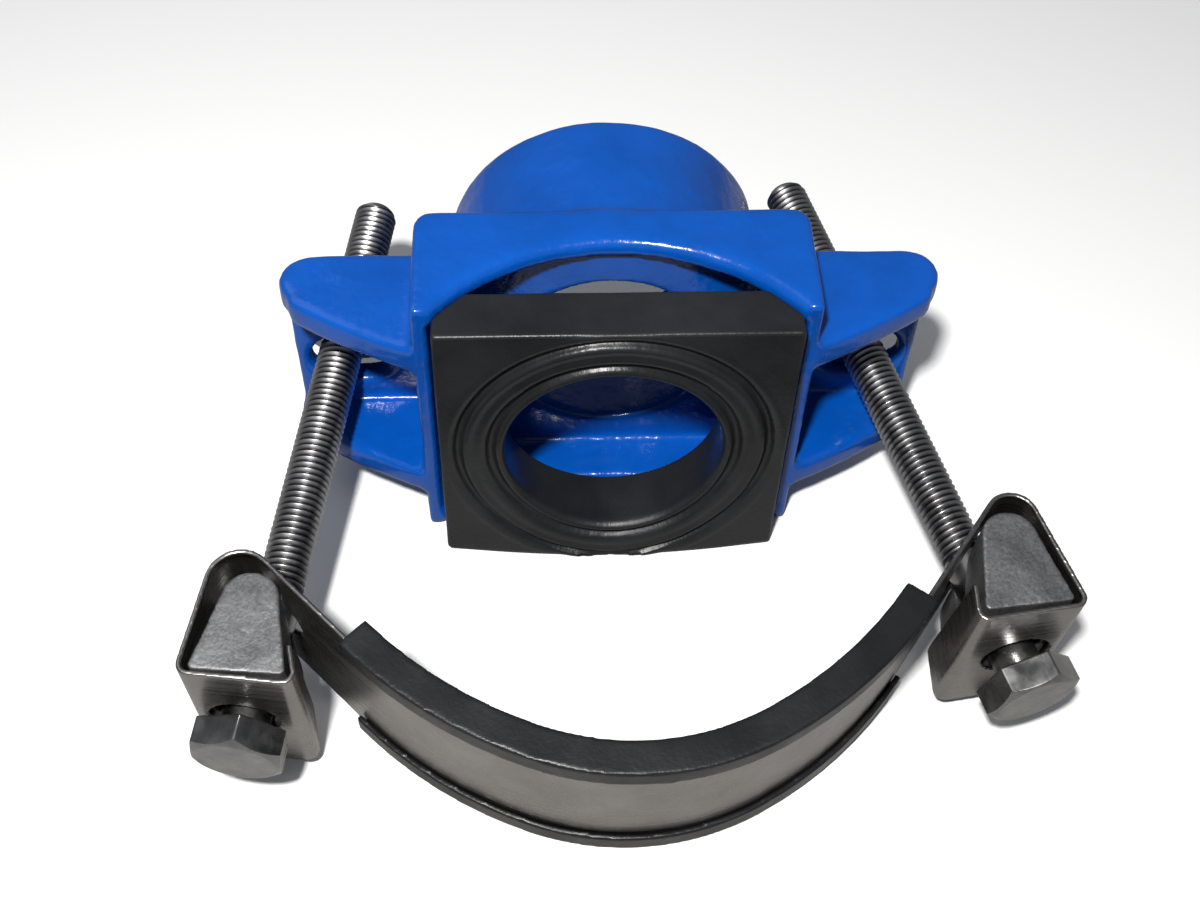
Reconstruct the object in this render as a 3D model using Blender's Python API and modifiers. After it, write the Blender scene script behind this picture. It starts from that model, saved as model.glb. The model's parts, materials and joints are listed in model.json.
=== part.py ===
"""Branch saddle clamp for a 110 mm pipe, with its strap slack.

Blender 4.5, metres, +Z up.  The saddle stands on its lower end face at z = 0
with its outlet pointing along +Y, and the strap hangs off two M12 bolts on the
-Y side.  The pieces are modelled about the upright axis of the pipe that the
clamp goes on, and an empty on that axis carries them all.  The part's origin
is on the lower end face, in the middle of its flat, behind the pipe's axis.
"""

import math

import bmesh
import bpy
from mathutils import Matrix, Vector

MM = 0.001
PARTS = "pipe_repair_clamp"
PIPE_Y = -63.4            # the pipe's axis, from the part's origin (mm)

# ---- the saddle casting (mm) ------------------------------------------------
BODY_W = 100.0            # across the two side walls
BODY_H = 87.0             # along the pipe
BODY_FRONT = 34.2         # front edge of the side walls
BODY_BACK = 68.9          # back of the box, where the outlet boss starts
BODY_CORNER = 5.0         # back corners of the box, seen along the pipe
SIDE_WALL = 4.0
END_WALL = 5.1            # upper end wall
FOOT_WALL = 6.6           # lower end wall
FOOT_REACH = 49.8         # its middle stands further forward than the arc
RECESS_BACK = 59.0        # floor of the recess behind the gasket
ARC_R = 56.6              # saddle arc: a 110 mm pipe with clearance
ARC_LIP = 2.4             # flare of the arc's outer edges
MID_Z = 43.0              # height of the outlet's axis
BOSS_R = 43.0
BOSS_END = 104.6
BORE_R = 27.2
SOCKET_R = 29.8           # tapped end of the outlet
SOCKET_DEPTH = 28.0
SOCKET_MOUTH_R = 31.4

# ---- the two ears -----------------------------------------------------------
EAR_BOTTOM = 14.7
EAR_TOP = 72.3
EAR_RIB = 8.3             # thickness of the upper and lower ribs
EAR_PLATE = 7.0           # thickness of the plate the nuts pull on
EAR_FRONT_R = 150.0       # long curve of the ribs' front edge
EAR_FRONT_SWING = (22.0, 36.0)
EAR_TIP = (76.9, 60.6)    # centre of the rounded tip
EAR_TIP_R = 8.0
SLOT_X = 68.8
SLOT_Z = 38.8
SLOT_R = 8.2
SLOT_HALF = 3.5           # half the straight part of the slot

# ---- the gasket -------------------------------------------------------------
GASKET_FRONT = 27.4
GASKET_T = 14.9
GASKET_W = 89.6
GASKET_H = 84.4
GASKET_TOP = 84.8
GASKET_LEAN = 1.5         # degrees, foot forward, as it rests in the recess
GASKET_CLEAR = 0.5        # to the saddle arc
HOLE_R = 28.2
HOLE_Z = 41.4
INNER_GROOVE = (30.2, 33.4, 1.2)      # inner radius, outer radius, depth
OUTER_GROOVE = (38.6, 41.6, 1.2)

# ---- the strap, in its own frame (u right, v away from the strap, w up) ------
STRAP_Z = 32.9            # height of the frame's origin on the pipe's axis
STRAP_SHIFT = 1.6         # strap's mid plane from the pipe's axis
STRAP_YAW = 3.3           # degrees, the slack strap hangs a little askew
STRAP_TILT = 6.28         # degrees, and its middle rests on the floor
ARC_V = -58.6             # liner's inner face at the middle of the strap
MID_R = 62.0              # liner's inner radius in the middle of the strap
FLANK_R = 105.0           # and further out, where the band flattens
MID_SWING = 24.0
LINER_LENGTH = 73.5       # half the liner's length along its inner face
LINER_T = 5.0             # rubber between the pipe and the band
LINER_LIP = 1.5           # rubber wrapped onto the band's outer face
LINER_LIP_W = 6.5
LINER_HALF = 25.5         # half the liner's width
BAND_T = 1.2
BAND_HALF = 24.0
FIT = 0.3                 # gap left between neighbouring pieces

# ---- the strap's ends; LEFT and RIGHT entries where the slack ends differ ------
LEFT, RIGHT = -1, 1
BOLT_U = 85.4             # bolt axis at v = 0
BOLT_SPLAY = 12.4         # degrees
SEAT_V = -36.6            # origin of the bolt's frame (p outward, q along the bolt)
SEAT_AT = {LEFT: (-1.0, 0.2), RIGHT: (-1.5, 2.2)}      # seat's middle in that frame
SEAT_TURN = {LEFT: 1.5, RIGHT: 7.5}                    # degrees, off square to the bolt
SEAT_HALF = 13.5
BAND_BEND_R = 1.6
LOOP_TOP = {LEFT: (4.0, 24.4), RIGHT: (3.0, 25.9)}     # centre of the loop's bend
LOOP_R = {LEFT: 8.0, RIGHT: 6.6}
TAB_LEAN = {LEFT: 19.0, RIGHT: 10.0}                   # degrees, towards the block
TAB_SHORT = 6.5           # tab's straight length at its upper edge
TAB_LONG = 11.5           # and at its lower edge
BAND_HOLE_R = 8.4
BLOCK_HALF = 23.2
BLOCK_BASE = 11.2         # half its width at the seat
BLOCK_H = 25.0
BLOCK_LEAN = 13.4         # degrees, of its two sides
BLOCK_LIFT = {LEFT: 2.2, RIGHT: 2.7}                   # underside above the seat's plane
BLOCK_TURN = -2.5         # degrees, loose in its loop
BLOCK_BORE_R = 7.6

# ---- fasteners, M12 x 160 ---------------------------------------------------
BOLT_R = 5.9
BOLT_LEN = 160.0
HEAD_AF = 21.0
HEAD_H = 7.6
HEAD_GAP = 2.5            # slack below the bolt frame's origin
HEAD_TURN = {LEFT: -22.6, RIGHT: -15.0}                # degrees about the bolt
BOLT_DROP = 1.3           # bolts lie low in their holes
BOLT_CHAMFER = 1.0
WASHER_R = 14.0
WASHER_BORE_R = 6.5
WASHER_T = 2.5
NUT_AF = 19.0
NUT_H = 10.0
NUT_BORE_R = 6.2
WASHER_EDGE_GAP = 0.35    # between the washer's rim and the ear

COLOURS = {
    "saddle_casting": ((0.0, 0.11, 0.58, 1.0), 0.0, 0.22),
    "saddle_gasket": ((0.020, 0.021, 0.022, 1.0), 0.0, 0.55),
    "strap_band": ((0.62, 0.60, 0.57, 1.0), 1.0, 0.25),
    "strap_liner": ((0.018, 0.019, 0.020, 1.0), 0.0, 0.60),
    "block": ((0.27, 0.28, 0.29, 1.0), 0.9, 0.55),
    "bolt": ((0.50, 0.49, 0.46, 1.0), 1.0, 0.32),
    "washer": ((0.60, 0.59, 0.57, 1.0), 1.0, 0.30),
    "nut": ((0.55, 0.54, 0.51, 1.0), 1.0, 0.32),
}


# ---- scene and mesh helpers --------------------------------------------------
def clear_scene():
    for obj in list(bpy.data.objects):
        bpy.data.objects.remove(obj, do_unlink=True)


def collection(name):
    found = bpy.data.collections.get(name)
    if found is None:
        found = bpy.data.collections.new(name)
        bpy.context.scene.collection.children.link(found)
    return found


def put(name, mesh, group):
    obj = bpy.data.objects.new(name, mesh)
    collection(group).objects.link(obj)
    return obj


def paint(obj, kind):
    colour, metallic, roughness = COLOURS[kind]
    mat = bpy.data.materials.new(obj.name + "_finish")
    mat.use_nodes = True
    shader = mat.node_tree.nodes["Principled BSDF"]
    shader.inputs["Base Color"].default_value = colour
    shader.inputs["Metallic"].default_value = metallic
    shader.inputs["Roughness"].default_value = roughness
    obj.data.materials.clear()
    obj.data.materials.append(mat)


def tidy_mesh(mesh):
    bm = bmesh.new()
    bm.from_mesh(mesh)
    bmesh.ops.remove_doubles(bm, verts=bm.verts, dist=0.00001)
    bmesh.ops.dissolve_degenerate(bm, edges=bm.edges, dist=0.000005)
    bmesh.ops.recalc_face_normals(bm, faces=bm.faces)
    bm.to_mesh(mesh)
    bm.free()
    mesh.update()


def baked(obj):
    """The object's finished mesh, with the object itself removed."""
    bpy.context.view_layer.update()
    graph = bpy.context.evaluated_depsgraph_get()
    mesh = bpy.data.meshes.new_from_object(obj.evaluated_get(graph))
    bpy.data.objects.remove(obj, do_unlink=True)
    tidy_mesh(mesh)
    return mesh


def prism(points, low, high, name="prism"):
    """A closed outline in XY (mm) filled both sides and extruded from low to high."""
    curve = bpy.data.curves.new(name, "CURVE")
    curve.dimensions = "2D"
    curve.fill_mode = "BOTH"
    curve.extrude = (high - low) / 2.0 * MM
    spline = curve.splines.new("POLY")
    spline.points.add(len(points) - 1)
    for slot, (x, y) in zip(spline.points, points):
        slot.co = (x * MM, y * MM, 0.0, 1.0)
    spline.use_cyclic_u = True
    mesh = baked(put(name, curve, "construction"))
    mesh.transform(Matrix.Translation((0.0, 0.0, (high + low) / 2.0 * MM)))
    return mesh


def turned(profile, steps, name="turned"):
    """A profile of (radius, height) pairs in mm, top to bottom, turned about Z."""
    mesh = bpy.data.meshes.new(name)
    verts = [(r * MM, 0.0, z * MM) for r, z in profile]
    edges = [(i, i + 1) for i in range(len(verts) - 1)]
    mesh.from_pydata(verts, edges, [])
    obj = put(name, mesh, "construction")
    screw = obj.modifiers.new("turn", "SCREW")
    screw.steps = steps
    screw.render_steps = steps
    screw.use_merge_vertices = True
    screw.merge_threshold = 0.00001
    return baked(obj)


def soften(mesh, width, segments=2, angle=40.0):
    """Round the mesh's sharp edges by a Bevel of the given width in mm."""
    obj = put("soften", mesh, "construction")
    bevel = obj.modifiers.new("round", "BEVEL")
    bevel.width = width * MM
    bevel.segments = segments
    bevel.limit_method = "ANGLE"
    bevel.angle_limit = math.radians(angle)
    return baked(obj)


def combine(name, mesh, steps, group=PARTS):
    """Apply a list of (operation, mesh) Booleans to the mesh, one after another."""
    obj = put(name, mesh, group)
    for operation, other in steps:
        cutter = put(name + "_tool", other, "cutters")
        cutter.hide_render = True
        cutter.display_type = "WIRE"
        boolean = obj.modifiers.new("cut", "BOOLEAN")
        boolean.operation = operation
        boolean.solver = "EXACT"
        boolean.object = cutter
        bpy.context.view_layer.update()
        graph = bpy.context.evaluated_depsgraph_get()
        result = bpy.data.meshes.new_from_object(obj.evaluated_get(graph))
        obj.modifiers.clear()
        obj.data = result
        bpy.data.objects.remove(cutter, do_unlink=True)
    tidy_mesh(obj.data)
    return obj


def along_y(mesh):
    """Turn a Z-axis mesh so that its axis points along +Y."""
    mesh.transform(Matrix.Rotation(math.radians(-90.0), 4, "X"))
    return mesh


def moved(mesh, x=0.0, y=0.0, z=0.0):
    mesh.transform(Matrix.Translation((x * MM, y * MM, z * MM)))
    return mesh


def mirrored(mesh):
    """The mesh's mirror image across the YZ plane."""
    mesh.transform(Matrix.Scale(-1.0, 4, (1.0, 0.0, 0.0)))
    mesh.flip_normals()
    return mesh


def arc_points(centre, radius, start, end, count):
    """Points on an arc, angles in degrees, both ends included."""
    points = []
    for i in range(count + 1):
        a = math.radians(start + (end - start) * i / count)
        points.append((centre[0] + radius * math.cos(a), centre[1] + radius * math.sin(a)))
    return points


def place(obj, matrix):
    """Give the object a resting transform without moving its mesh data."""
    obj.matrix_world = matrix
    bpy.context.view_layer.update()


# ---- frames -------------------------------------------------------------------
def strap_frame():
    turn = Matrix.Rotation(math.radians(STRAP_YAW), 4, "Z")
    tilt = Matrix.Rotation(math.radians(STRAP_TILT), 4, "X")
    lift = Matrix.Translation((0.0, 0.0, STRAP_Z * MM))
    return lift @ turn @ tilt @ Matrix.Translation((STRAP_SHIFT * MM, 0.0, 0.0))


def bolt_frame(side):
    """Bolt's frame in the strap's: origin on the seat, X outward, Y up the bolt."""
    splay = math.radians(BOLT_SPLAY)
    outward = Vector((side * math.cos(splay), math.sin(splay), 0.0))
    along = Vector((-side * math.sin(splay), math.cos(splay), 0.0))
    normal = outward.cross(along)
    rows = Matrix((outward, along, normal)).transposed().to_4x4()
    u = BOLT_U - math.tan(splay) * SEAT_V
    return Matrix.Translation((side * u * MM, SEAT_V * MM, 0.0)) @ rows


def end_frame(side):
    """The strap end's frame in the strap's: X outward along the seat, Y up from it."""
    p, q = SEAT_AT[side]
    shift = Matrix.Translation((p * MM, q * MM, 0.0))
    return bolt_frame(side) @ shift @ Matrix.Rotation(math.radians(-SEAT_TURN[side]), 4, "Z")


def bolt_axis(side):
    """World point on the bolt's seat and unit direction towards its tip."""
    world = strap_frame() @ bolt_frame(side)
    direction = (world.to_3x3() @ Vector((0.0, 1.0, 0.0))).normalized()
    drop = strap_frame().to_3x3() @ Vector((0.0, 0.0, -BOLT_DROP * MM))
    return world.translation + drop, direction


def axis_matrix(point, direction):
    """A frame at the point with its Z axis along the direction."""
    across = Vector((0.0, 0.0, 1.0)).cross(direction).normalized()
    rows = Matrix((across, direction.cross(across), direction)).transposed()
    return Matrix.Translation(point) @ rows.to_4x4()


def washer_distance(side):
    """How far up the bolt, from its seat, the front of the washer stands."""
    point, direction = bolt_axis(side)
    lean = math.sqrt(1.0 - direction.y ** 2)
    target = (BODY_BACK + WASHER_R * lean + WASHER_EDGE_GAP) * MM
    return (target - point.y) / direction.y / MM


# ---- the saddle casting --------------------------------------------------------
def body_outline():
    half = BODY_W / 2.0
    c = BODY_CORNER
    points = [(-half, BODY_FRONT), (half, BODY_FRONT)]
    points += arc_points((half - c, BODY_BACK - c), c, 0.0, 90.0, 5)
    points += arc_points((-half + c, BODY_BACK - c), c, 90.0, 180.0, 5)
    return points


def ear_outline():
    """Plan of the right ear, from inside the side wall round its tip and back."""
    start, end = EAR_FRONT_SWING
    centre = (BODY_W / 2.0 - EAR_FRONT_R * math.sin(math.radians(start)),
              BODY_FRONT + EAR_FRONT_R * math.cos(math.radians(start)))
    root = BODY_W / 2.0 - SIDE_WALL / 2.0
    points = [(root, BODY_FRONT + 0.6)]
    points += arc_points(centre, EAR_FRONT_R, start - 90.0, end - 90.0, 8)
    points += arc_points(EAR_TIP, EAR_TIP_R, end - 82.0, 90.0, 8)
    points.append((points[-1][0] - 0.8, BODY_BACK))
    points.append((root, BODY_BACK))
    return points


def stadium(half, radius):
    return (arc_points((half, 0.0), radius, -90.0, 90.0, 12)
            + arc_points((-half, 0.0), radius, 90.0, 270.0, 12))


def ear_mesh():
    return soften(prism(ear_outline(), EAR_BOTTOM, EAR_TOP), 1.0)


def ear_pocket():
    """The space between the ribs, in front of the plate."""
    inner = BODY_W / 2.0
    front = BODY_FRONT - 6.0
    back = BODY_BACK - EAR_PLATE
    points = [(inner, front), (inner + 45.0, front), (inner + 45.0, back), (inner, back)]
    return prism(points, EAR_BOTTOM + EAR_RIB, EAR_TOP - EAR_RIB)


def ear_slot():
    slot = along_y(prism(stadium(SLOT_HALF, SLOT_R), -12.0, 12.0))
    return moved(slot, SLOT_X, BODY_BACK - 2.0, SLOT_Z)


def boss_mesh():
    edge = 2.0
    profile = [(0.0, BOSS_END), (BOSS_R - edge, BOSS_END), (BOSS_R - 0.6, BOSS_END - 0.6),
               (BOSS_R, BOSS_END - edge), (BOSS_R, BODY_BACK - 4.0), (0.0, BODY_BACK - 4.0)]
    return moved(along_y(turned(profile, 72)), 0.0, 0.0, MID_Z)


def bore_cutter():
    socket = BOSS_END - SOCKET_DEPTH
    mouth = BOSS_END - (SOCKET_MOUTH_R - SOCKET_R)
    profile = [(0.0, BOSS_END + 3.0), (SOCKET_MOUTH_R + 3.0, BOSS_END + 3.0),
               (SOCKET_R, mouth), (SOCKET_R, socket), (BORE_R, socket - 0.9),
               (BORE_R, RECESS_BACK - 3.0), (0.0, RECESS_BACK - 3.0)]
    return moved(along_y(turned(profile, 72)), 0.0, 0.0, MID_Z)


def recess_cutter():
    half = BODY_W / 2.0 - SIDE_WALL
    c = 4.0
    points = [(-half, BODY_FRONT - 5.0), (half, BODY_FRONT - 5.0)]
    points += arc_points((half - c, RECESS_BACK - c), c, 0.0, 90.0, 4)
    points += arc_points((-half + c, RECESS_BACK - c), c, 90.0, 180.0, 4)
    return prism(points, FOOT_WALL, BODY_H - END_WALL)


def arc_cutter():
    """The saddle arc through the upper end wall, flared where it meets the top."""
    flare = ARC_R + ARC_LIP
    low = FOOT_WALL + 2.0
    profile = [(0.0, BODY_H + 2.0), (flare + 2.0, BODY_H + 2.0), (flare, BODY_H),
               (ARC_R + 0.7, BODY_H - 0.9), (ARC_R, BODY_H - ARC_LIP),
               (ARC_R, low), (0.0, low)]
    return turned(profile, 128)


def foot_cutter():
    """The flatter arc of the lower end wall, through the same front corners."""
    half = BODY_W / 2.0 - SIDE_WALL
    rise = FOOT_REACH - BODY_FRONT
    radius = (half ** 2 + rise ** 2) / (2.0 * rise)
    edge = 1.6
    high = FOOT_WALL + 1.0
    profile = [(0.0, high), (radius + edge, high), (radius + edge, FOOT_WALL),
               (radius + edge * 0.3, FOOT_WALL - edge * 0.3), (radius, FOOT_WALL - edge),
               (radius, 1.0), (radius + 1.0, 0.0), (radius + 3.0, -2.0), (0.0, -2.0)]
    return moved(turned(profile, 160), 0.0, FOOT_REACH - radius)


def build_casting():
    steps = [("UNION", boss_mesh()),
             ("UNION", ear_mesh()),
             ("UNION", mirrored(ear_mesh())),
             ("DIFFERENCE", ear_pocket()),
             ("DIFFERENCE", mirrored(ear_pocket())),
             ("DIFFERENCE", ear_slot()),
             ("DIFFERENCE", mirrored(ear_slot())),
             ("DIFFERENCE", recess_cutter()),
             ("DIFFERENCE", bore_cutter()),
             ("DIFFERENCE", arc_cutter()),
             ("DIFFERENCE", foot_cutter())]
    body = soften(prism(body_outline(), 0.0, BODY_H), 1.2)
    casting = combine("saddle_casting", body, steps)
    paint(casting, "saddle_casting")
    return casting


# ---- the gasket ------------------------------------------------------------------
def gasket_outline():
    """Plan of the slab: flat in front, its back corners following the saddle arc."""
    half = GASKET_W / 2.0
    radius = ARC_R - GASKET_CLEAR
    back = GASKET_FRONT + GASKET_T
    low = math.degrees(math.acos(half / radius))
    high = math.degrees(math.asin(back / radius))
    points = [(-half, GASKET_FRONT), (half, GASKET_FRONT)]
    points += arc_points((0.0, 0.0), radius, low, high, 6)
    points += arc_points((0.0, 0.0), radius, 180.0 - high, 180.0 - low, 6)
    return points


def ring_cutter(inner, outer, depth):
    """An annular groove cut from the slab's front face, axis along +Y."""
    front = GASKET_FRONT
    slope = depth * 0.5
    profile = [(inner + slope, front + depth), (outer - slope, front + depth),
               (outer, front - 2.0), (inner, front - 2.0), (inner + slope, front + depth)]
    return moved(along_y(turned(profile, 96)), 0.0, 0.0, HOLE_Z)


def hole_cutter():
    front = GASKET_FRONT
    back = GASKET_FRONT + GASKET_T
    profile = [(0.0, back + 2.0), (HOLE_R + 0.6, back + 2.0), (HOLE_R + 0.6, back),
               (HOLE_R, back - 0.8), (HOLE_R, front + 1.2), (HOLE_R + 1.2, front),
               (HOLE_R + 1.2, front - 2.0), (0.0, front - 2.0)]
    return moved(along_y(turned(profile, 72)), 0.0, 0.0, HOLE_Z)


def build_gasket():
    slab = soften(prism(gasket_outline(), GASKET_TOP - GASKET_H, GASKET_TOP), 0.5, 1)
    steps = [("DIFFERENCE", hole_cutter()),
             ("DIFFERENCE", ring_cutter(*INNER_GROOVE)),
             ("DIFFERENCE", ring_cutter(*OUTER_GROOVE))]
    gasket = combine("saddle_gasket", slab, steps)
    pivot = Vector((0.0, (GASKET_FRONT + GASKET_T) * MM, GASKET_TOP * MM))
    lean = Matrix.Rotation(math.radians(-GASKET_LEAN), 4, "X")
    gasket.data.transform(Matrix.Translation(pivot) @ lean @ Matrix.Translation(-pivot))
    paint(gasket, "saddle_gasket")
    return gasket


# ---- the strap ---------------------------------------------------------------------
def flank_centre():
    """Centre of the band's flatter flank, on the right half, in the strap's frame."""
    turn = math.radians(MID_SWING)
    return (-(FLANK_R - MID_R) * math.sin(turn),
            ARC_V + MID_R + (FLANK_R - MID_R) * math.cos(turn))


def to_strap(side, out, up):
    """A point of the end frame, in mm, in the strap's (u, v) with u outward."""
    world = end_frame(side) @ Vector((out * MM, up * MM, 0.0))
    return (side * world.x / MM, world.y / MM)


def flank_swing(side):
    """Heading at which the flank's curve runs straight on, tangent to the end's loop."""
    centre = flank_centre()
    loop = to_strap(side, *LOOP_TOP[side])
    across = (loop[0] - centre[0], loop[1] - centre[1])
    reach = FLANK_R + LINER_T + FIT + LOOP_R[side]
    angle = math.degrees(math.atan2(across[1], across[0])
                         + math.acos(-reach / math.hypot(*across)))
    return angle - 90.0


def strap_curve(side, offset, length=0.0):
    """Half of the strap's curve as (u, v), u outward, from its middle to its run.

    It is offset outward from the liner's inner face.  With a length it runs
    straight on until the inner face is that long.
    """
    mid = (0.0, ARC_V + MID_R)
    points = arc_points(mid, MID_R + offset, -90.0, MID_SWING - 90.0, 8)
    swing = flank_swing(side)
    points += arc_points(flank_centre(), FLANK_R + offset,
                         MID_SWING - 90.0, swing - 90.0, 8)[1:]
    if length > 0.0:
        run = length - math.radians(MID_SWING) * MID_R
        run -= math.radians(swing - MID_SWING) * FLANK_R
        a = math.radians(swing)
        u, v = points[-1]
        points.append((u + run * math.cos(a), v + run * math.sin(a)))
    return points


def both_sides(left, right):
    """Join a left and a right half chain into one from left to right."""
    return [(-u, v) for u, v in reversed(left[1:])] + right


def whole_curve(offset, length=0.0):
    return both_sides(strap_curve(LEFT, offset, length), strap_curve(RIGHT, offset, length))


def common_tangent(first, first_r, second, second_r):
    """Angle of the outward normal of the line that touches both circles."""
    across = (second[0] - first[0], second[1] - first[1])
    lean = math.acos((first_r - second_r) / math.hypot(*across))
    return math.degrees(math.atan2(across[1], across[0]) + lean)


def band_chain(side, offset):
    """Half of the band as (u, v) points, offset outward from its inner face.

    Outward is away from the pipe along the arc, which is the side that faces
    the block round the loop, so the end's bends are drawn at a radius less
    the offset.
    """
    chain = strap_curve(side, LINER_T + FIT + offset)
    frame_turn = math.degrees(math.atan2(to_strap(side, 1.0, 0.0)[1] - to_strap(side, 0.0, 0.0)[1],
                                         to_strap(side, 1.0, 0.0)[0] - to_strap(side, 0.0, 0.0)[0]))
    arrive = flank_swing(side) + 90.0 - frame_turn
    bend = BAND_BEND_R + BAND_T
    outer = (SEAT_HALF - bend, bend)
    inner = (bend - SEAT_HALF, bend)
    leave = common_tangent(LOOP_TOP[side], LOOP_R[side], outer, bend)
    points = arc_points(LOOP_TOP[side], LOOP_R[side] - offset, arrive, leave, 10)
    points += arc_points(outer, bend - offset, leave, -90.0, 4)
    points += arc_points(inner, bend - offset, -90.0, -180.0 - TAB_LEAN[side], 4)
    lean = math.radians(TAB_LEAN[side])
    out, up = points[-1]
    points.append((out + TAB_LONG * math.sin(lean), up + TAB_LONG * math.cos(lean)))
    return chain + [to_strap(side, out, up) for out, up in points]


def build_band():
    outer = both_sides(band_chain(LEFT, BAND_T), band_chain(RIGHT, BAND_T))
    inner = both_sides(band_chain(LEFT, 0.0), band_chain(RIGHT, 0.0))
    band = prism(inner + list(reversed(outer)), -BAND_HALF, BAND_HALF)
    steps = []
    for side in (LEFT, RIGHT):
        steps.append(("DIFFERENCE", tab_cutter(side)))
        steps.append(("DIFFERENCE", bolt_hole(side, BAND_HOLE_R, -6.0, 60.0)))
    obj = combine("strap_band", band, steps)
    place(obj, strap_frame())
    paint(obj, "strap_band")
    return obj


def tab_cutter(side):
    """Trims the tab's free end on a slant, short at the top and long at the foot."""
    rise = BAND_HALF
    past = TAB_LONG + 0.3
    points = [(TAB_SHORT, rise + 1.0), (past, rise + 1.0), (past, -rise + 1.0)]
    mesh = prism(points, -1.6, 1.6)
    basis = Matrix(((0.0, 0.0, 1.0, 0.0), (1.0, 0.0, 0.0, 0.0),
                    (0.0, 1.0, 0.0, 0.0), (0.0, 0.0, 0.0, 1.0)))
    mesh.transform(basis)
    lean = Matrix.Rotation(math.radians(-TAB_LEAN[side]), 4, "Z")
    bend = BAND_BEND_R + BAND_T
    foot = Matrix.Translation(((bend - SEAT_HALF) * MM, bend * MM, 0.0))
    wall = Matrix.Translation(((BAND_T / 2.0 - bend) * MM, 0.0, 0.0))
    mesh.transform(foot @ lean @ wall)
    if side < 0:
        mesh.transform(Matrix.Scale(-1.0, 4, (0.0, 0.0, 1.0)))
        mesh.flip_normals()
    mesh.transform(end_frame(side))
    return mesh


def bolt_hole(side, radius, low, high):
    """A round cutter on the bolt's axis, in the strap's frame."""
    mesh = along_y(turned([(0.0, high), (radius, high), (radius, low), (0.0, low)], 40))
    mesh.transform(bolt_frame(side))
    return mesh


def liner_layer(near, far, half, length):
    """A layer of the liner between two offsets, along the whole curve."""
    inner = whole_curve(near, length)
    outer = whole_curve(far, length)
    return prism(inner + list(reversed(outer)), -half, half)


def build_liner():
    pocket_far = LINER_T + BAND_T + 2.0 * FIT
    past = LINER_LENGTH + 6.0
    pocket = liner_layer(LINER_T, pocket_far, BAND_HALF + FIT, past)
    window = liner_layer(LINER_T + BAND_T, pocket_far + LINER_LIP + 2.0,
                         LINER_HALF - LINER_LIP_W, past)
    body = liner_layer(0.0, pocket_far + LINER_LIP, LINER_HALF, LINER_LENGTH)
    obj = combine("strap_liner", body, [("DIFFERENCE", pocket), ("DIFFERENCE", window)])
    place(obj, strap_frame())
    paint(obj, "strap_liner")
    return obj


# ---- the wedge blocks ----------------------------------------------------------------
def block_outline():
    """Section of the block: two leaning sides and a domed top tangent to them."""
    lean = math.radians(BLOCK_LEAN)
    height = (BLOCK_H - BLOCK_BASE * math.cos(lean)) / (1.0 - math.sin(lean))
    edge = 1.0
    points = [(edge - BLOCK_BASE, 0.0), (BLOCK_BASE - edge, 0.0),
              (BLOCK_BASE - edge * math.tan(lean), edge)]
    points += arc_points((0.0, height), BLOCK_H - height, BLOCK_LEAN, 180.0 - BLOCK_LEAN, 12)
    points.append((edge * math.tan(lean) - BLOCK_BASE, edge))
    return points


def block_frame(side):
    lift = Matrix.Translation((0.0, BLOCK_LIFT[side] * MM, 0.0))
    return end_frame(side) @ lift @ Matrix.Rotation(math.radians(BLOCK_TURN), 4, "Z")


def build_block(side):
    """Wedge block in the loop; its bore follows the bolt, which leans in it."""
    name = "left_block" if side < 0 else "right_block"
    body = soften(prism(block_outline(), -BLOCK_HALF, BLOCK_HALF), 0.7, 2)
    body.transform(block_frame(side))
    obj = combine(name, body, [("DIFFERENCE", bolt_hole(side, BLOCK_BORE_R, -6.0, 60.0))])
    place(obj, strap_frame())
    paint(obj, "block")
    return obj


# ---- fasteners ---------------------------------------------------------------------------
def hexagon(across_flats):
    radius = across_flats / math.sqrt(3.0)
    return [(radius * math.cos(math.radians(60.0 * i)),
             radius * math.sin(math.radians(60.0 * i))) for i in range(6)]


def head_round(across_flats, low, high, chamfer_low, chamfer_high):
    """The turned solid a hexagon is intersected with to chamfer its corners.

    Its cones run on past the hexagon's ends, so no two faces coincide.
    """
    wide = across_flats / math.sqrt(3.0) + 0.2
    flat = across_flats / 2.0 - 0.4
    drop = (wide - flat) * 0.55
    past = 1.0
    tip = flat - past * (wide - flat) / drop
    profile = [(0.0, high + past)]
    if chamfer_high:
        profile += [(tip, high + past), (wide, high - drop)]
    else:
        profile += [(wide, high + past)]
    if chamfer_low:
        profile += [(wide, low + drop), (tip, low - past)]
    else:
        profile += [(wide, low - past)]
    profile.append((0.0, low - past))
    return turned(profile, 48)


def build_bolt(side):
    """Hex head below z = 0 and shank above it, along the bolt's own Z axis."""
    name = "left_bolt" if side < 0 else "right_bolt"
    head = prism(hexagon(HEAD_AF), -HEAD_H, 0.0)
    head.transform(Matrix.Rotation(math.radians(HEAD_TURN[side]), 4, "Z"))
    steps = [("INTERSECT", head_round(HEAD_AF, -HEAD_H, 0.0, True, False))]
    c = BOLT_CHAMFER
    shank = turned([(0.0, BOLT_LEN), (BOLT_R - c, BOLT_LEN), (BOLT_R, BOLT_LEN - c),
                    (BOLT_R, -2.0), (0.0, -2.0)], 40)
    steps.append(("UNION", shank))
    obj = combine(name, head, steps)
    point, direction = bolt_axis(side)
    place(obj, axis_matrix(point - direction * HEAD_GAP * MM, direction))
    paint(obj, "bolt")
    return obj


def build_washer(side):
    name = "left_washer" if side < 0 else "right_washer"
    c = 0.3
    profile = [(WASHER_BORE_R, WASHER_T), (WASHER_R - c, WASHER_T), (WASHER_R, WASHER_T - c),
               (WASHER_R, c), (WASHER_R - c, 0.0), (WASHER_BORE_R, 0.0),
               (WASHER_BORE_R, WASHER_T)]
    obj = put(name, turned(profile, 56), PARTS)
    point, direction = bolt_axis(side)
    centre = point + direction * washer_distance(side) * MM
    place(obj, axis_matrix(centre, direction))
    paint(obj, "washer")
    return obj


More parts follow.
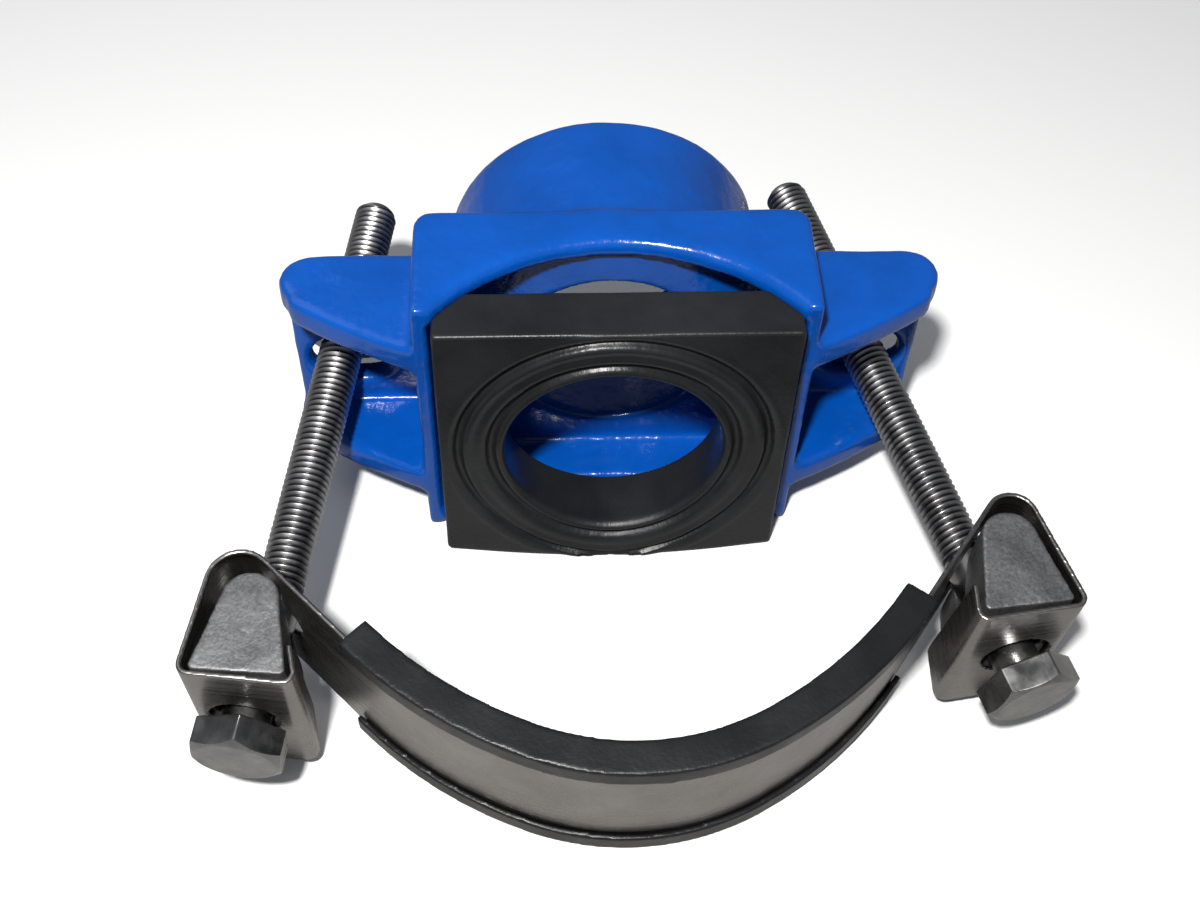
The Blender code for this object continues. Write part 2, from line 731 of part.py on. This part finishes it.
def build_nut(side):
    name = "left_nut" if side < 0 else "right_nut"
    steps = [("INTERSECT", head_round(NUT_AF, 0.0, NUT_H, True, True)),
             ("DIFFERENCE", turned([(0.0, NUT_H + 3.0), (NUT_BORE_R, NUT_H + 3.0),
                                    (NUT_BORE_R, -3.0), (0.0, -3.0)], 40))]
    obj = combine(name, prism(hexagon(NUT_AF), 0.0, NUT_H), steps)
    point, direction = bolt_axis(side)
    centre = point + direction * (washer_distance(side) + WASHER_T + FIT) * MM
    place(obj, axis_matrix(centre, direction))
    paint(obj, "nut")
    return obj


def pipe_axis():
    """An empty on the pipe's axis, which places every piece on the part's origin."""
    empty = bpy.data.objects.new("pipe_axis", None)
    collection("guides").objects.link(empty)
    empty.location = (0.0, PIPE_Y * MM, 0.0)
    return empty


def main():
    clear_scene()
    axis = pipe_axis()
    build_casting()
    build_gasket()
    build_band()
    build_liner()
    for side in (LEFT, RIGHT):
        build_block(side)
        build_bolt(side)
        build_washer(side)
        build_nut(side)
    for obj in collection(PARTS).objects:
        obj.parent = axis


main()
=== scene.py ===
"""Looks and stage for the pipe repair clamp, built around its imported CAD."""

import json
import math

import bmesh
import bpy
import numpy as np
from mathutils import Matrix, Vector, noise

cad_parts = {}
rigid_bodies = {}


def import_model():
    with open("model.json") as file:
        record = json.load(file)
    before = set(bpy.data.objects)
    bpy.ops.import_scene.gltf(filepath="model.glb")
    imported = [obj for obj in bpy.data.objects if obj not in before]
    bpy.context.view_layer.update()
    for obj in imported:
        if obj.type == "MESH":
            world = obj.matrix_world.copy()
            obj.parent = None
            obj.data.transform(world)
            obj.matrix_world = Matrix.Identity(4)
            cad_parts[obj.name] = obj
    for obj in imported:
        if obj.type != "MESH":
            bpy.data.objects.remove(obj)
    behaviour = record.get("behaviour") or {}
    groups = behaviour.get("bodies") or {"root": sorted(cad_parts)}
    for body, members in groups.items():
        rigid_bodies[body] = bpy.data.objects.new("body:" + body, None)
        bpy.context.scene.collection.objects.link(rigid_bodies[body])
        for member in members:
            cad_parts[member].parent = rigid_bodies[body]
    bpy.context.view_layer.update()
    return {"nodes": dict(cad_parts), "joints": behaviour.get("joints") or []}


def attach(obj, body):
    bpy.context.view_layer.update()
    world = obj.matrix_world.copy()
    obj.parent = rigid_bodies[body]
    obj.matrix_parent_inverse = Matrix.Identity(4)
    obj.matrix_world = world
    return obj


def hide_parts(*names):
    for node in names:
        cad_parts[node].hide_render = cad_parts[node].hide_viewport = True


for leftover in list(bpy.data.objects):
    bpy.data.objects.remove(leftover)
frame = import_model()
MM = 0.001

# ---- dimensions repeated from the CAD, in mm -----------------------------------------
BOLT_BACK = 2.5           # underside of the head behind the bolt joint's point
BOLT_LEN = 160.0
HEAD_H = 7.6
HEAD_AF = 21.0
NECK_R = 5.9
OUTLET_Z = 43.0           # axis of the outlet above the foot
OUTLET_END = 41.2
GASKET_HOLE_Z = 41.4
GASKET_HALF = 44.8
GASKET_FACE = -38.226     # the gasket's front plane at Z = 0
GASKET_LEAN = 0.026186    # and how far it goes back with each mm of Z

# ---- details that the CAD leaves out, in mm ------------------------------------------
THREAD_FROM = 34.0        # where the bolt's thread starts, inside its block
THREAD_PITCH = 1.75
THREAD_S = [0.0, 0.07, 0.42, 0.50, 0.58, 0.93]     # along one pitch: root, flank, crest
THREAD_R = [4.95, 5.0, 5.85, 5.9, 5.85, 5.0]
THREAD_COLUMNS = 40
TIP_CHAMFER = 1.6
TIP_SLOPE = 0.9
OUTLET_PITCH = 2.309      # parallel pipe thread of a 2 inch branch
OUTLET_FROM = 1.2
OUTLET_DEPTH = 26.0
OUTLET_S = [0.0, 0.12, 0.44, 0.56, 0.88]
OUTLET_R = [29.9, 29.7, 28.75, 28.75, 29.7]
OUTLET_WALL = 30.6
OUTLET_COLUMNS = 120
CHAMFER_IN = 0.6          # the head's chamfer starts this far inside its flats
CHAMFER_SLOPE = 0.62
HEAD_DISH = 0.22
LIP_FORWARD = 4.6         # middle of the casting's lower lip, towards the gasket
LIP_HALF = 38.0
BOW = 3.2                 # the gasket's lower middle, towards the strap
BOW_TOP = 40.0
# Rings of relief round the gasket's hole: middle radius, half width, height.
RINGS = [(29.0, 1.5, 0.4), (31.8, 2.1, -0.5), (34.7, 1.7, 0.3), (38.2, 1.7, 0.3),
         (40.4, 2.2, -0.6), (43.2, 1.4, 0.2)]
FOOT_FILL = [(40.0, 2.6, 1.15)]   # the outer groove runs out before the foot's edge

# ---- stage ------------------------------------------------------------------------------
FLOOR_SIZE = 2.4          # metres
FLOOR_STEPS = 24
FLOOR_DROP = 0.6          # mm, keeps the floor clear of the foot
CAMERA_PLACE = (-0.021606, -0.281513, 0.356690)
CAMERA_PITCH = 52.03      # degrees, down
CAMERA_YAW = 4.20
CAMERA_ROLL = 2.39
CAMERA_LENS = 46.456
KEY_PLACE = (-0.10, -0.34, 0.60)
KEY_TARGET = (0.0, -0.05, 0.03)
FILL_PLACE = (-0.5, 0.35, 0.9)
FILL_TARGET = (0.0, -0.03, 0.02)
ROOM_COLOUR = (0.80, 0.84, 0.90, 1.0)
ROOM_STRENGTH = 0.20


# ---- mesh helpers ---------------------------------------------------------------------
def add_object(name, mesh, matrix=None):
    obj = bpy.data.objects.new(name, mesh)
    bpy.context.scene.collection.objects.link(obj)
    if matrix is not None:
        obj.matrix_world = matrix
    return obj


def settle(obj):
    """Replace the object's mesh by what its modifiers make of it."""
    graph = bpy.context.evaluated_depsgraph_get()
    graph.update()
    mesh = bpy.data.meshes.new_from_object(obj.evaluated_get(graph), depsgraph=graph)
    obj.modifiers.clear()
    old = obj.data
    obj.data = mesh
    bpy.data.meshes.remove(old)


def remesh(obj, voxel, rounds):
    """Voxel remesh in mm, then smoothing rounds that turn sharp edges into radii."""
    mod = obj.modifiers.new("skin", "REMESH")
    mod.mode = "VOXEL"
    mod.voxel_size = voxel * MM
    mod.adaptivity = 0.0
    settle(obj)
    relax(obj, rounds)


def relax(obj, rounds, where=None):
    """Smooth the mesh; where(co) gives each vertex a weight."""
    mod = obj.modifiers.new("relax", "SMOOTH")
    mod.factor = 0.5
    mod.iterations = rounds
    if where is not None:
        group = obj.vertex_groups.new(name="where")
        for vertex in obj.data.vertices:
            weight = where(vertex.co)
            if weight > 0.0:
                group.add([vertex.index], weight, "REPLACE")
        mod.vertex_group = "where"
    settle(obj)
    obj.vertex_groups.clear()


def node_copy(node, name):
    """A welded copy of a CAD node, for a piece that is worked on from its shape."""
    source = frame["nodes"][node]
    mesh = source.data.copy()
    bm = bmesh.new()
    bm.from_mesh(mesh)
    bmesh.ops.remove_doubles(bm, verts=bm.verts, dist=1e-6)
    bm.to_mesh(mesh)
    bm.free()
    return add_object(name, mesh, source.matrix_world.copy())


def mesh_from(name, verts, faces):
    """A closed mesh from vertices in mm; doubles are merged and normals set outward."""
    mesh = bpy.data.meshes.new(name)
    mesh.from_pydata([(x * MM, y * MM, z * MM) for x, y, z in verts], [], faces)
    bm = bmesh.new()
    bm.from_mesh(mesh)
    bmesh.ops.remove_doubles(bm, verts=bm.verts, dist=1e-6)
    bmesh.ops.dissolve_degenerate(bm, edges=bm.edges, dist=1e-6)
    bmesh.ops.recalc_face_normals(bm, faces=bm.faces)
    bm.to_mesh(mesh)
    bm.free()
    return mesh


def circle(verts, radius, z, columns):
    """Add a circle of vertices about Z and return their numbers."""
    first = len(verts)
    for col in range(columns):
        angle = 2.0 * math.pi * col / columns
        verts.append((radius * math.cos(angle), radius * math.sin(angle), z))
    return list(range(first, first + columns))


def bridge(faces, low, high):
    """Faces between two circles with equal numbers of vertices."""
    for i in range(len(low)):
        after = (i + 1) % len(low)
        faces.append((low[i], low[after], high[after], high[i]))


def read_vectors(items, field):
    values = np.empty(len(items) * 3)
    items.foreach_get(field, values)
    return values.reshape(-1, 3)


def write_spots(obj, spots):
    obj.data.vertices.foreach_set("co", spots.ravel())
    obj.data.update()


def wavy(obj, amount, size, seed):
    """Move vertices along their normals by smooth noise: amount and size in mm."""
    offset = Vector((seed, seed * 0.7, seed * 1.3))
    spots = read_vectors(obj.data.vertices, "co")
    ways = read_vectors(obj.data.vertices, "normal")
    heights = [noise.noise(Vector(spot) / (size * MM) + offset) for spot in spots]
    spots += ways * (np.array(heights)[:, None] * amount * MM)
    write_spots(obj, spots)


def smooth_step(value):
    value = min(max(value, 0.0), 1.0)
    return value * value * (3.0 - 2.0 * value)


# ---- turned shapes and threads --------------------------------------------------------
def lathe(name, profile, columns):
    """Turn a profile of (radius, z) about Z; it starts and ends on the axis."""
    verts = []
    faces = []
    rings = [circle(verts, r, z, columns) for r, z in profile]
    for low, high in zip(rings, rings[1:]):
        bridge(faces, low, high)
    return mesh_from(name, verts, faces)


def helix_grid(low, high, pitch, steps, radii, columns, limit):
    """Vertices and faces of a threaded surface about Z, flattened to its ends' planes.

    A row follows the helix, so the last column meets the first one a turn higher.
    """
    count = len(steps)
    rows = (int((high - low) / pitch) + 3) * count
    verts = []
    for row in range(rows + count):
        turn, k = divmod(row, count)
        for col in range(columns):
            z = low + pitch * (turn - 2 + steps[k] + col / columns)
            r = radii[k]
            if z <= low or z >= high:
                r = radii[0]
                z = min(max(z, low), high)
            r = limit(r, z)
            angle = 2.0 * math.pi * col / columns
            verts.append((r * math.cos(angle), r * math.sin(angle), z))
    faces = []
    for row in range(rows - 1):
        for col in range(columns):
            here = row * columns + col
            beside = here + 1 if col + 1 < columns else (row + count) * columns
            faces.append((here, beside, beside + columns, here + columns))
    return verts, faces


def threaded_rod(name):
    """The bolt's thread with a chamfered tip."""
    high = BOLT_LEN - 0.02

    def cone(r, z):
        return min(r, max(THREAD_R) - (z - high + TIP_CHAMFER) * TIP_SLOPE)

    verts, faces = helix_grid(THREAD_FROM, high, THREAD_PITCH, THREAD_S, THREAD_R,
                              THREAD_COLUMNS, cone)
    core = THREAD_R[0]
    faces.append(tuple(circle(verts, core, THREAD_FROM, THREAD_COLUMNS)))
    faces.append(tuple(circle(verts, cone(core, high), high, THREAD_COLUMNS)))
    return mesh_from(name, verts, faces)


def threaded_tube(name):
    """The outlet's thread, on a thin wall that sits in the casting's metal."""
    verts, faces = helix_grid(OUTLET_FROM, OUTLET_DEPTH, OUTLET_PITCH, OUTLET_S, OUTLET_R,
                              OUTLET_COLUMNS, lambda r, z: r)
    corners = [(OUTLET_R[0], OUTLET_FROM), (OUTLET_WALL, OUTLET_FROM),
               (OUTLET_WALL, OUTLET_DEPTH), (OUTLET_R[0], OUTLET_DEPTH)]
    rings = [circle(verts, r, z, OUTLET_COLUMNS) for r, z in corners]
    for low, high in zip(rings, rings[1:]):
        bridge(faces, low, high)
    return mesh_from(name, verts, faces)


# ---- materials ------------------------------------------------------------------------
class Look:
    """A material under construction: a Principled shader and short ways to feed it."""

    def __init__(self, name, colour, rough, metal=0.0):
        self.mat = bpy.data.materials.new(name)
        self.mat.use_nodes = True
        self.tree = self.mat.node_tree
        self.shader = self.tree.nodes["Principled BSDF"]
        self.shader.inputs["Base Color"].default_value = (*colour, 1.0)
        self.shader.inputs["Roughness"].default_value = rough
        self.shader.inputs["Metallic"].default_value = metal
        self.coords = self.tree.nodes.new("ShaderNodeTexCoord").outputs["Object"]
        self.height = None

    def put(self, socket, value):
        """Link an output to the socket, or set the socket to a number or a colour."""
        if isinstance(value, bpy.types.NodeSocket):
            self.tree.links.new(value, socket)
        elif isinstance(value, tuple):
            socket.default_value = (*value, 1.0)
        else:
            socket.default_value = value

    def node(self, kind, **inputs):
        node = self.tree.nodes.new(kind)
        for key, value in inputs.items():
            self.put(node.inputs[key], value)
        return node

    def stretched(self, scale):
        mapping = self.node("ShaderNodeMapping", Vector=self.coords)
        mapping.inputs["Scale"].default_value = scale
        return mapping.outputs["Vector"]

    def noise(self, scale, detail=3.0, rough=0.5, vector=None):
        node = self.node("ShaderNodeTexNoise", Vector=vector or self.coords,
                         Scale=scale, Detail=detail, Roughness=rough)
        return node.outputs["Fac"]

    def ramp(self, value, *stops):
        """A ramp of two stops, each a position and a colour or a grey."""
        node = self.node("ShaderNodeValToRGB", Fac=value)
        for element, (position, colour) in zip(node.color_ramp.elements, stops):
            element.position = position
            rgb = colour if isinstance(colour, tuple) else (colour, colour, colour)
            element.color = (*rgb, 1.0)
        return node.outputs["Color"]

    def feed(self, socket, value):
        self.tree.links.new(value, self.shader.inputs[socket])

    def bump(self, height, distance, strength):
        """Bump by a height in mm; later calls add to earlier ones."""
        node = self.node("ShaderNodeBump", Height=height, Strength=strength,
                         Distance=distance * MM)
        if self.height is not None:
            self.tree.links.new(self.height, node.inputs["Normal"])
        self.height = node.outputs["Normal"]
        self.feed("Normal", self.height)

    def math(self, operation, a, b=0.0):
        node = self.tree.nodes.new("ShaderNodeMath")
        node.operation = operation
        self.put(node.inputs[0], a)
        self.put(node.inputs[1], b)
        return node.outputs["Value"]

    def mix(self, factor, a, b):
        node = self.tree.nodes.new("ShaderNodeMix")
        node.data_type = "RGBA"
        sockets = [socket for socket in node.inputs if socket.enabled]
        for socket, value in zip(sockets, (factor, a, b)):
            self.put(socket, value)
        return [socket for socket in node.outputs if socket.enabled][0]


def epoxy():
    look = Look("blue_epoxy", (0.001, 0.068, 0.36), 0.2)
    look.feed("Base Color", look.ramp(look.noise(45.0, 3.0, 0.55),
                                      (0.35, (0.0005, 0.061, 0.325)),
                                      (0.65, (0.0015, 0.075, 0.40))))
    look.feed("Roughness", look.ramp(look.noise(160.0, 2.0), (0.3, 0.15), (0.7, 0.27)))
    look.shader.inputs["Coat Weight"].default_value = 0.25
    look.shader.inputs["Specular IOR Level"].default_value = 0.36
    look.shader.inputs["Coat Roughness"].default_value = 0.08
    look.bump(look.noise(120.0, 2.0, 0.5), 1.1, 0.35)
    look.bump(look.noise(520.0, 2.0, 0.5), 0.35, 0.45)
    return look.mat


def rubber(name, colour, dust):
    look = Look(name, colour, 0.5)
    patches = look.noise(38.0, 4.0, 0.6)
    look.feed("Base Color", look.ramp(patches, (0.3, colour), (0.75, dust)))
    look.feed("Roughness", look.ramp(look.noise(70.0, 3.0), (0.3, 0.27), (0.7, 0.44)))
    look.shader.inputs["Specular IOR Level"].default_value = 0.32
    look.bump(look.noise(900.0, 3.0, 0.6), 0.16, 0.5)
    look.bump(look.noise(90.0, 2.0, 0.5), 0.5, 0.25)
    return look.mat


def strap_steel():
    """Stainless strip, streaked along its length by the rolling."""
    look = Look("strap_steel", (0.33, 0.31, 0.285), 0.3, 1.0)
    streaks = look.noise(1.0, 5.0, 0.65, look.stretched((26.0, 26.0, 1500.0)))
    tone = look.ramp(look.noise(55.0, 4.0, 0.6),
                     (0.3, (0.25, 0.232, 0.21)), (0.7, (0.39, 0.372, 0.352)))
    lines = look.ramp(streaks, (0.3, 0.20), (0.7, 0.36))
    look.feed("Base Color", look.mix(0.35, tone, lines))
    look.feed("Roughness", look.ramp(streaks, (0.3, 0.22), (0.75, 0.42)))
    look.bump(streaks, 0.05, 0.5)
    look.bump(look.noise(60.0, 2.0), 0.5, 0.18)
    return look.mat


def cast_metal():
    look = Look("block_metal", (0.30, 0.30, 0.31), 0.5, 0.85)
    grain = look.noise(1300.0, 3.0, 0.65)
    patches = look.noise(90.0, 4.0, 0.6)
    fine = look.ramp(grain, (0.3, (0.10, 0.10, 0.105)), (0.72, (0.27, 0.275, 0.285)))
    broad = look.ramp(patches, (0.3, 0.12), (0.7, 0.26))
    look.feed("Base Color", look.mix(0.35, fine, broad))
    look.feed("Roughness", look.ramp(patches, (0.3, 0.42), (0.7, 0.62)))
    look.bump(grain, 0.16, 0.6)
    return look.mat


def bolt_steel():
    """Plated steel about the Z axis, with painted shade darkening the thread's valleys."""
    look = Look("bolt_steel", (0.62, 0.62, 0.63), 0.25, 1.0)
    parts = look.node("ShaderNodeSeparateXYZ", Vector=look.coords).outputs
    square = look.math("ADD", look.math("MULTIPLY", parts["X"], parts["X"]),
                       look.math("MULTIPLY", parts["Y"], parts["Y"]))
    radius = look.math("MULTIPLY", look.math("SQRT", square), 1.0 / MM)
    depth = look.math("DIVIDE", look.math("SUBTRACT", radius, 5.05), 0.75)
    # painted shade: this mask is 0 in the thread's valleys and 1 towards the crests
    valley_shade_mask = look.ramp(depth, (0.0, 0.0), (0.75, 1.0))
    bright = look.ramp(look.noise(140.0, 4.0, 0.6),
                       (0.3, (0.30, 0.30, 0.315)), (0.7, (0.43, 0.425, 0.43)))
    # painted shade: the near-black colour laid into the thread's valleys
    look.feed("Base Color", look.mix(valley_shade_mask, (0.045, 0.042, 0.04), bright))
    look.feed("Roughness", look.ramp(look.noise(260.0, 3.0), (0.3, 0.26), (0.7, 0.42)))
    look.bump(look.noise(420.0, 3.0), 0.08, 0.4)
    return look.mat


def machined_steel(name, low, high, rough):
    """Steel for heads, nuts and washers, between two greys."""
    look = Look(name, (0.5, 0.5, 0.51), rough, 1.0)
    look.feed("Base Color", look.ramp(look.noise(120.0, 4.0, 0.65),
                                      (0.3, (low, low, low * 1.03)),
                                      (0.7, (high, high * 0.99, high * 0.96))))
    look.feed("Roughness", look.ramp(look.noise(200.0, 3.0),
                                     (0.3, rough - 0.06), (0.7, rough + 0.14)))
    look.bump(look.noise(1.0, 4.0, 0.6, look.stretched((900.0, 60.0, 60.0))), 0.05, 0.5)
    look.bump(look.noise(300.0, 3.0), 0.12, 0.35)
    return look.mat


# ---- pieces ---------------------------------------------------------------------------
def finish_piece(obj, material, body, slot, *nodes):
    """Give a piece its material and smooth shading, hang it on its body and hide the CAD
    nodes it stands for.
    """
    obj.data.materials.clear()
    obj.data.materials.append(material)
    obj.data.polygons.foreach_set("use_smooth", [True] * len(obj.data.polygons))
    obj.data.update()
    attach(obj, body)
    if nodes:
        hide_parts(*nodes)


def ear_weight(co):
    """The ears are rounder than the box between them."""
    return smooth_step((abs(co.x) / MM - 49.0) / 4.0)


def bring_lip_forward(casting):
    """Push the middle of the lower lip towards the gasket's back."""
    spots = read_vectors(casting.data.vertices, "co")
    for spot in spots:
        x, y, z = spot / MM
        low = smooth_step((8.5 - z) / 2.0)
        near = smooth_step((-3.0 - y) / 9.0)
        middle = max(0.0, 1.0 - (x / LIP_HALF) ** 2)
        spot[1] -= LIP_FORWARD * MM * low * near * middle
    write_spots(casting, spots)


def make_saddle(material):
    casting = node_copy("saddle_casting", "saddle_body")
    remesh(casting, 0.8, 12)
    bring_lip_forward(casting)
    relax(casting, 14, ear_weight)
    wavy(casting, 0.22, 14.0, 3.1)
    wavy(casting, 0.08, 4.0, 7.7)
    finish_piece(casting, material, "saddle", "blue_epoxy", "saddle_casting")
    into = Matrix.Rotation(math.pi / 2, 4, "X")
    mouth = Matrix.Translation((0.0, OUTLET_END * MM, OUTLET_Z * MM)) @ into
    thread = add_object("outlet_thread", threaded_tube("outlet_thread"), mouth)
    finish_piece(thread, material, "saddle", "blue_epoxy")


def relief(radius, rings):
    """Height in mm that the rings add at a radius beyond what the CAD draws."""
    height = 0.0
    for middle, half, rise in rings:
        t = (radius - middle) / half
        if abs(t) < 1.0:
            height += rise * (1.0 - t * t) ** 2
    return height


def shape_gasket(gasket):
    """Deepen the rings round the hole and bow the lower middle forward."""
    spots = read_vectors(gasket.data.vertices, "co")
    ways = read_vectors(gasket.data.vertices, "normal")
    for spot, way in zip(spots, ways):
        x, y, z = spot / MM
        radius = math.hypot(x, z - GASKET_HOLE_Z)
        inside = smooth_step((z - 1.0) / 3.0)
        if way[1] < -0.35:
            y -= relief(radius, RINGS) * inside
        if y < GASKET_FACE + GASKET_LEAN * z + 1.6:
            y -= relief(radius, FOOT_FILL) * (1.0 - inside)
        low = smooth_step(1.0 - z / BOW_TOP)
        forward = smooth_step((-24.0 - y) / 8.0)
        middle = max(0.0, 1.0 - (x / GASKET_HALF) ** 2)
        spot[1] = (y - BOW * low * forward * middle ** 1.2) * MM
    write_spots(gasket, spots)


def make_gasket(material):
    gasket = node_copy("saddle_gasket", "gasket_pad")
    remesh(gasket, 0.5, 5)
    shape_gasket(gasket)
    wavy(gasket, 0.10, 18.0, 1.9)
    finish_piece(gasket, material, "saddle", "gasket_rubber", "saddle_gasket")


def make_strap(steel, liner_rubber, block_metal):
    band = node_copy("strap_band", "band_sheet")
    remesh(band, 0.38, 4)
    finish_piece(band, steel, "strap", "strap_steel", "strap_band")
    liner = node_copy("strap_liner", "liner_channel")
    remesh(liner, 0.5, 5)
    finish_piece(liner, liner_rubber, "strap", "liner_rubber", "strap_liner")
    for side, seed in (("left", 2.0), ("right", 9.0)):
        wedge = node_copy(side + "_block", side + "_wedge")
        remesh(wedge, 0.4, 5)
        wavy(wedge, 0.25, 7.0, seed)
        wavy(wedge, 0.05, 1.4, seed + 1.0)
        finish_piece(wedge, block_metal, "strap", "block_metal", side + "_block")


def bolt_basis(name):
    """The bolt's frame: Z up the bolt from under its head, X through a head corner."""
    joint = [j for j in frame["joints"] if j["name"] == name + "_turn"][0]
    z = Vector(joint["axis"]).normalized()
    origin = Vector(joint["pos_m"]) - z * (BOLT_BACK * MM)
    widest = Vector((0.0, 0.0, 0.0))
    for vertex in frame["nodes"][name].data.vertices:
        away = vertex.co - origin
        along = away.dot(z)
        across = away - z * along
        if along < -1.0 * MM and across.length > widest.length:
            widest = across
    x = widest.normalized()
    y = z.cross(x)
    return Matrix(((x.x, y.x, z.x, origin.x), (x.y, y.y, z.y, origin.y),
                   (x.z, y.z, z.z, origin.z), (0.0, 0.0, 0.0, 1.0)))


def hex_head(name):
    """Hexagon head with a chamfered, slightly dished end and softened edges."""
    verts = []
    faces = []
    corner = HEAD_AF / math.sqrt(3.0)
    low = circle(verts, corner, -HEAD_H, 6)
    top = circle(verts, corner, 0.0, 6)
    bridge(faces, low, top)
    faces.append(tuple(low))
    faces.append(tuple(top))
    obj = add_object(name, mesh_from(name, verts, faces))
    remesh(obj, 0.24, 0)
    rim = HEAD_AF / 2.0 - CHAMFER_IN
    spots = read_vectors(obj.data.vertices, "co")
    for spot in spots:
        x, y, z = spot / MM
        radius = math.hypot(x, y)
        if radius > rim:
            spot[2] = max(z, -HEAD_H + (radius - rim) * CHAMFER_SLOPE) * MM
        elif z < -HEAD_H + 0.1:
            spot[2] += HEAD_DISH * MM * (1.0 - smooth_step(radius / rim))
    write_spots(obj, spots)
    relax(obj, 4)
    return obj


def bolt_neck(name):
    """The plain neck, with a fillet under the head and a relief before the thread."""
    start = THREAD_FROM
    profile = [(0.0, -0.3), (7.0, -0.3), (6.9, 0.0), (6.3, 0.25), (6.0, 0.8), (NECK_R, 1.6),
               (NECK_R, start - 2.2), (5.6, start - 1.0), (5.1, start - 0.4),
               (4.9, start + 0.4), (0.0, start + 0.4)]
    return lathe(name, profile, 56)


def make_bolt(side, thread_steel, head_steel):
    name = side + "_bolt"
    basis = bolt_basis(name)
    thread = add_object(name + "_thread", threaded_rod(name + "_thread"), basis)
    finish_piece(thread, thread_steel, name, "bolt_steel", name)
    neck = add_object(name + "_shank", bolt_neck(name + "_shank"), basis)
    finish_piece(neck, head_steel, name, "bolt_steel")
    head = hex_head(name + "_head")
    head.matrix_world = basis
    finish_piece(head, head_steel, name, "bolt_steel")


def make_turned(node, material, slot):
    """A nut or a washer, worked on from its CAD shape."""
    piece = node_copy(node, node + "_turned")
    remesh(piece, 0.28, 3)
    wavy(piece, 0.05, 3.0, 4.0)
    finish_piece(piece, material, node, slot, node)


# ---- stage ----------------------------------------------------------------------------
def make_floor():
    """White to the camera, but grey to what it lights and to what reflects it."""
    verts = []
    faces = []
    row = FLOOR_STEPS + 1
    for j in range(row):
        for i in range(row):
            x = (i / FLOOR_STEPS - 0.5) * FLOOR_SIZE / MM
            y = (j / FLOOR_STEPS - 0.5) * FLOOR_SIZE / MM
            verts.append((x, y, -FLOOR_DROP))
    for j in range(FLOOR_STEPS):
        for i in range(FLOOR_STEPS):
            a = j * row + i
            faces.append((a, a + 1, a + row + 1, a + row))
    floor = add_object("floor", mesh_from("floor", verts, faces))
    look = Look("floor_paper", (0.93, 0.93, 0.925), 0.9)
    seen = look.node("ShaderNodeLightPath").outputs["Is Camera Ray"]
    look.feed("Base Color", look.mix(seen, (0.34, 0.335, 0.325), (0.94, 0.94, 0.935)))
    look.shader.inputs["Specular IOR Level"].default_value = 0.1
    floor.data.materials.append(look.mat)


def area_light(name, place, target, size, power, colour):
    data = bpy.data.lights.new(name, "AREA")
    data.shape = "DISK"
    data.size = size
    data.energy = power
    data.color = colour
    lamp = bpy.data.objects.new(name, data)
    bpy.context.scene.collection.objects.link(lamp)
    lamp.location = place
    lamp.rotation_euler = (Vector(target) - Vector(place)).to_track_quat("-Z", "Y").to_euler()


def make_lights():
    area_light("key", KEY_PLACE, KEY_TARGET, 0.045, 6.4, (1.0, 0.99, 0.97))
    area_light("soft", FILL_PLACE, FILL_TARGET, 0.7, 0.9, (0.95, 0.98, 1.0))
    world = bpy.data.worlds.new("room")
    bpy.context.scene.world = world
    world.use_nodes = True
    back = world.node_tree.nodes["Background"]
    back.inputs["Color"].default_value = ROOM_COLOUR
    back.inputs["Strength"].default_value = ROOM_STRENGTH


def make_camera():
    pitch = math.radians(CAMERA_PITCH)
    yaw = math.radians(CAMERA_YAW)
    roll = math.radians(CAMERA_ROLL)
    ahead = Vector((math.sin(yaw) * math.cos(pitch), math.cos(yaw) * math.cos(pitch),
                    -math.sin(pitch)))
    right = Vector((math.cos(yaw), -math.sin(yaw), 0.0))
    up = right.cross(ahead)
    side = math.cos(roll) * right + math.sin(roll) * up
    top = math.cos(roll) * up - math.sin(roll) * right
    place = Vector(CAMERA_PLACE)
    data = bpy.data.cameras.new("camera")
    data.lens = CAMERA_LENS
    data.sensor_width = 36.0
    data.clip_start = 0.01
    camera = bpy.data.objects.new("camera", data)
    bpy.context.scene.collection.objects.link(camera)
    camera.matrix_world = Matrix(((side.x, top.x, -ahead.x, place.x),
                                  (side.y, top.y, -ahead.y, place.y),
                                  (side.z, top.z, -ahead.z, place.z),
                                  (0.0, 0.0, 0.0, 1.0)))
    bpy.context.scene.camera = camera


def main():
    make_saddle(epoxy())
    make_gasket(rubber("gasket_rubber", (0.008, 0.0085, 0.0095), (0.018, 0.019, 0.021)))
    make_strap(strap_steel(),
               rubber("liner_rubber", (0.006, 0.0065, 0.0075), (0.013, 0.014, 0.0155)),
               cast_metal())
    thread = bolt_steel()
    head = machined_steel("head_steel", 0.2, 0.34, 0.26)
    washer = machined_steel("washer_steel", 0.26, 0.38, 0.34)
    nut = machined_steel("nut_steel", 0.26, 0.4, 0.3)
    for side in ("left", "right"):
        make_bolt(side, thread, head)
        make_turned(side + "_washer", washer, "washer_steel")
        make_turned(side + "_nut", nut, "nut_steel")
    make_floor()
    make_lights()
    make_camera()
    bpy.context.scene.view_settings.view_transform = "Standard"


main()
